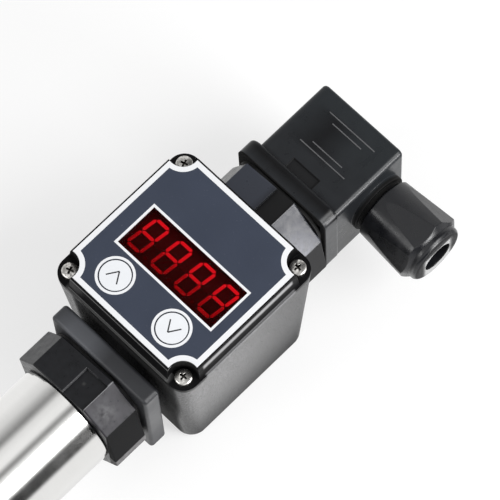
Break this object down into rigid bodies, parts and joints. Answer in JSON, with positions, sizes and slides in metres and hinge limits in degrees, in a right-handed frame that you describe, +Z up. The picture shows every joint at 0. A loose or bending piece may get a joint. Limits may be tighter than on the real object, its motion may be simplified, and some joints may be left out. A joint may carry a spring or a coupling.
{
  "type": "temperature transmitter",
  "caption": "Screw-in temperature transmitter: steel probe and body tube, square plug-in digital display head and right-angle cable plug with gland.",
  "frame": {"origin": "where the device axis meets the sealing seat under the hexagon, at the top of the process thread", "axes": "+Z up the device axis from the probe to the plug, -Y the way the display faces, +X the way the cable leaves the gland"},
  "size_m": [0.058, 0.0497, 0.2224],
  "materials": {
    "steel": "turned and brushed stainless steel",
    "housing": "satin black moulding",
    "case": "fine-grained black moulding",
    "plug": "matte black moulding",
    "nut_plastic": "black moulding",
    "film": "printed film, satin",
    "pane": "dark red tinted pane",
    "digit_body": "dark moulding",
    "digit_lit": "red segment, lit",
    "button": "white, satin",
    "plunger": "black moulding",
    "switch": "black moulding",
    "bright_steel": "zinc plated",
    "brass": "plated contact brass",
    "board": "green solder mask",
    "chip": "moulded chip",
    "wire": "insulated wire",
    "element": "bare ceramic",
    "seal": "soft black rubber"
  },
  "bodies": {
    "transmitter": {"process_fitting": "steel", "probe_sheath": "steel", "housing_tube": "steel", "lower_base": "housing", "socket_shell": "housing", "upper_base": "housing", "display_case": "case", "display_lid": "case", "plug_shell": "plug", "plug_insert": "plug", "socket_nut": "nut_plastic", "upper_base_nut": "nut_plastic", "front_overlay": "film", "window_pane": "pane", "led_module": "digit_body", "led_segments": "digit_lit", "up_switch": "switch", "down_switch": "switch", "lid_screws": "bright_steel", "case_screw": "bright_steel", "plug_screw": "bright_steel", "lower_pins": "brass", "upper_pins": "brass", "lower_insert": "brass", "upper_insert": "brass", "socket_contacts": "brass", "plug_contacts": "brass", "terminal_screws": "brass", "transmitter_board": "board", "display_board": "board", "board_chips": "chip", "display_chips": "chip", "sensor_leads": "wire", "signal_wires": "wire", "loop_wires": "wire", "sensor_element": "element", "tube_oring": "seal", "lower_gasket": "seal", "lid_gasket": "seal", "plug_gasket": "seal", "gland_grommet": "seal", "screw_seal": "seal"},
    "gland_ring": {"gland_ring": "plug"},
    "gland_nut": {"gland_nut": "plug"},
    "up_button": {"up_button": "button", "up_plunger": "plunger"},
    "down_button": {"down_button": "button", "down_plunger": "plunger"}
  },
  "joints": [
    {"name": "gland_ring_slide", "type": "slide", "parent": "transmitter", "child": "gland_ring", "axis": [1, 0, 0], "range_m": [0, 0.003]},
    {"name": "gland_nut_turn", "type": "hinge", "parent": "gland_ring", "child": "gland_nut", "pos_m": [0.0262, 0, 0.1625], "axis": [1, 0, 0], "range_deg": [0, 721]},
    {"name": "up_button_press", "type": "slide", "parent": "transmitter", "child": "up_button", "axis": [0, 1, 0], "range_m": [0, 0.00025], "stiffness_N_per_m": 6000},
    {"name": "down_button_press", "type": "slide", "parent": "transmitter", "child": "down_button", "axis": [0, 1, 0], "range_m": [0, 0.00025], "stiffness_N_per_m": 6000}
  ],
  "couplings": [
    {"joint": "gland_nut_turn", "follows": "gland_ring_slide", "rad_per_m": 4188.8}
  ]
}
